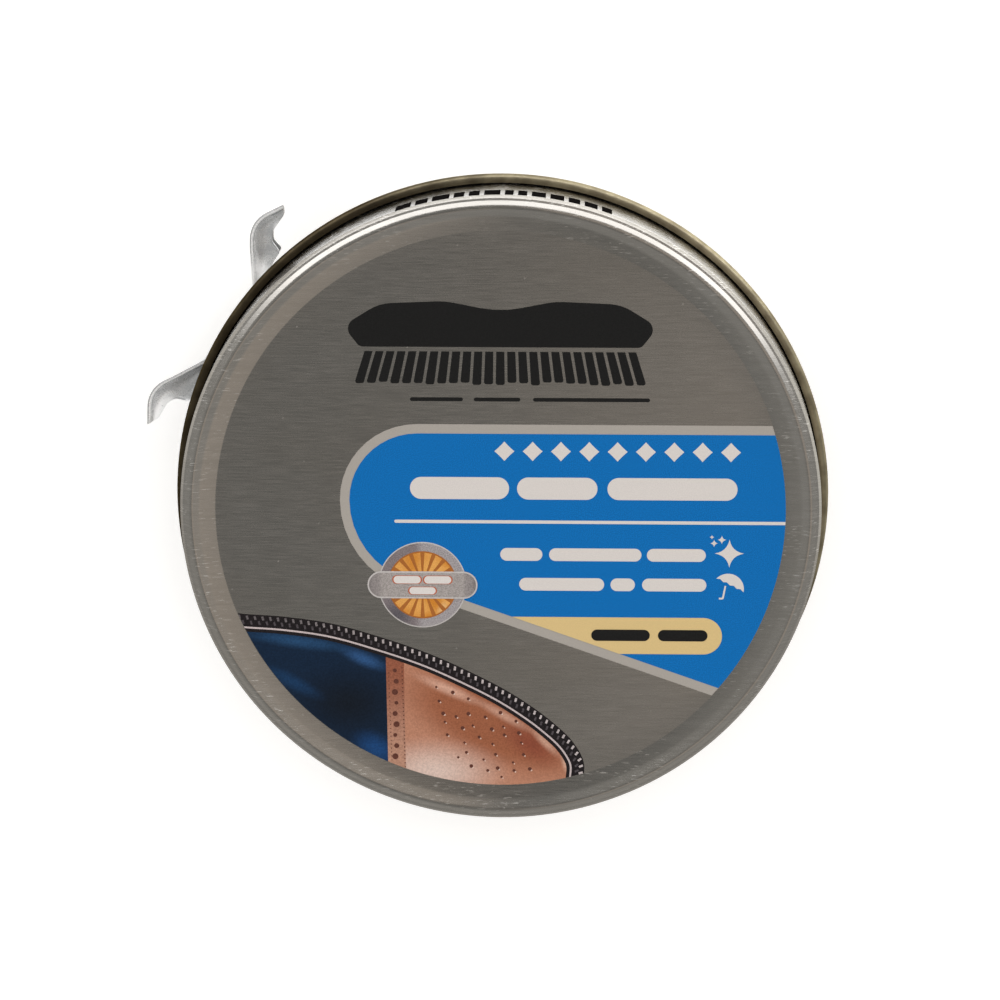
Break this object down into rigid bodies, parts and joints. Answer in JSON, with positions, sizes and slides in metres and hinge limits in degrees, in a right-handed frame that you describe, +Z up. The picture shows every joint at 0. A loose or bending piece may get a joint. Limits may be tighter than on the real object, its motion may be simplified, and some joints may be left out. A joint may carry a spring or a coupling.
{
  "type": "shoe polish tin",
  "caption": "Flat round tinplate tin with a slip lid, a cake of wax shoe polish inside and a two-winged twist opener riveted to the wall.",
  "frame": {"origin": "centre of the stand ring's plane, on the tin's axis", "axes": "+Z up along the tin's axis, +Y towards the top of the label; the opener's rivet points out at 147.3 degrees from +X"},
  "size_m": [0.0767, 0.073, 0.022],
  "materials": {
    "brushed_tinplate": "satin",
    "lacquered_tinplate": "satin",
    "neutral_wax": "satin",
    "zinc_plate": "satin",
    "bright_steel": "satin",
    "printed_ink": "satin"
  },
  "bodies": {
    "base": {"base_shell": "lacquered_tinplate", "wax_cake": "neutral_wax", "opener_rivet": "bright_steel"},
    "lid": {"lid_shell": "brushed_tinplate"},
    "opener": {"opener_key": "zinc_plate"}
  },
  "joints": [
    {"name": "opener_turn", "type": "hinge", "parent": "base", "child": "opener", "pos_m": [-0.03008, 0.01931, 0.009], "axis": [-0.8415, 0.5402, 0], "range_deg": [0, 90]},
    {"name": "lid_lift", "type": "slide", "parent": "base", "child": "lid", "axis": [0, 0, 1], "range_m": [0, 0.0157]}
  ],
  "couplings": [
    {"joint": "opener_turn", "follows": "lid_lift", "rad_per_m": 100}
  ]
}
